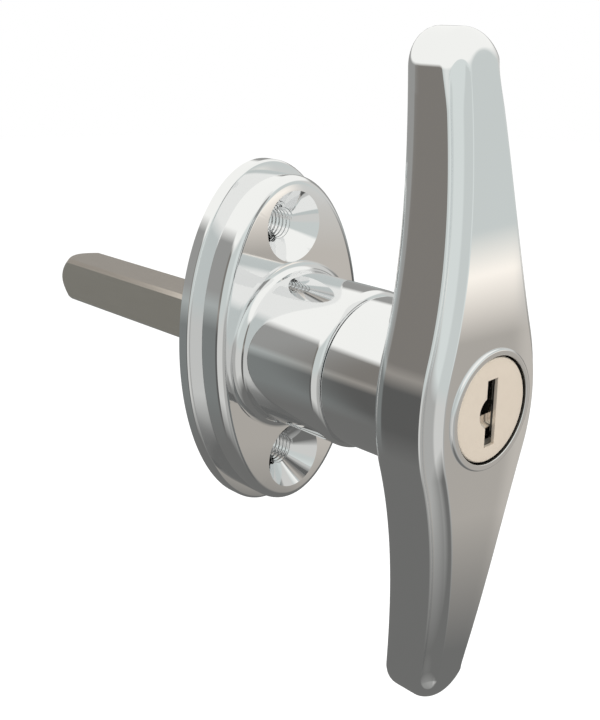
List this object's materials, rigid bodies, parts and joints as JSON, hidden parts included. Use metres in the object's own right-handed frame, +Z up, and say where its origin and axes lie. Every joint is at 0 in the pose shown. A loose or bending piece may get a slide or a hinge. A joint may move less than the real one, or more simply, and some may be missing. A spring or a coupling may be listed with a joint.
{
  "type": "t-handle cam latch",
  "caption": "Key-locking T-handle for a cam latch: the grip turns in an oval screw-fixed rose and drives a square spindle through the door.",
  "frame": {"origin": "centre of the rose's back face, where it lies on the door, on the axis that the handle turns about", "axes": "+Y along the spindle into the door, -Y out towards the user, +Z up along the grip, +X to the user's right"},
  "size_m": [0.0334, 0.0995, 0.098],
  "materials": {
    "chrome": "polished bright chrome plating",
    "nickel": "satin nickel, slightly warm",
    "zinc": "plated die casting",
    "brass": "stamped, bare",
    "steel": "bright drawn, satin",
    "spring_steel": "dark oiled",
    "rubber": "matt"
  },
  "bodies": {
    "rose": {"rose": "chrome", "thrust_washer": "steel"},
    "handle": {"handle": "chrome", "lock_barrel": "zinc", "barrel_pin": "steel", "stop_pin": "steel", "spindle": "steel", "spindle_pin": "spring_steel", "shaft_seal": "rubber", "spring_washer": "spring_steel", "circlip": "spring_steel"},
    "plug": {"lock_plug": "zinc", "plug_face": "nickel", "plug_clip": "spring_steel", "drive_pin": "steel", "wafer_spring_1": "spring_steel", "wafer_spring_2": "spring_steel", "wafer_spring_3": "spring_steel", "wafer_spring_4": "spring_steel", "wafer_spring_5": "spring_steel"},
    "bolt": {"locking_bolt": "steel"},
    "wafer_1": {"wafer_1": "brass"},
    "wafer_2": {"wafer_2": "brass"},
    "wafer_3": {"wafer_3": "brass"},
    "wafer_4": {"wafer_4": "brass"},
    "wafer_5": {"wafer_5": "brass"}
  },
  "joints": [
    {"name": "handle_turn", "type": "hinge", "parent": "rose", "child": "handle", "pos_m": [0, 0, 0], "axis": [0, 1, 0], "range_deg": [0, 90]},
    {"name": "plug_turn", "type": "hinge", "parent": "handle", "child": "plug", "pos_m": [0, 0, 0], "axis": [0, 1, 0], "range_deg": [0, 90]},
    {"name": "bolt_slide", "type": "slide", "parent": "handle", "child": "bolt", "axis": [1, 0, 0], "range_m": [0, 0.00212]},
    {"name": "wafer_1_slide", "type": "slide", "parent": "plug", "child": "wafer_1", "axis": [0, 0, 1], "range_m": [0, 0.0007], "deforming": ["wafer_spring_1"]},
    {"name": "wafer_2_slide", "type": "slide", "parent": "plug", "child": "wafer_2", "axis": [0, 0, 1], "range_m": [0, 0.0007], "deforming": ["wafer_spring_2"]},
    {"name": "wafer_3_slide", "type": "slide", "parent": "plug", "child": "wafer_3", "axis": [0, 0, 1], "range_m": [0, 0.0007], "deforming": ["wafer_spring_3"]},
    {"name": "wafer_4_slide", "type": "slide", "parent": "plug", "child": "wafer_4", "axis": [0, 0, 1], "range_m": [0, 0.0007], "deforming": ["wafer_spring_4"]},
    {"name": "wafer_5_slide", "type": "slide", "parent": "plug", "child": "wafer_5", "axis": [0, 0, 1], "range_m": [0, 0.0007], "deforming": ["wafer_spring_5"]}
  ],
  "couplings": [
    {"joint": "bolt_slide", "follows": "plug_turn", "m_per_rad": 0.0013505}
  ]
}
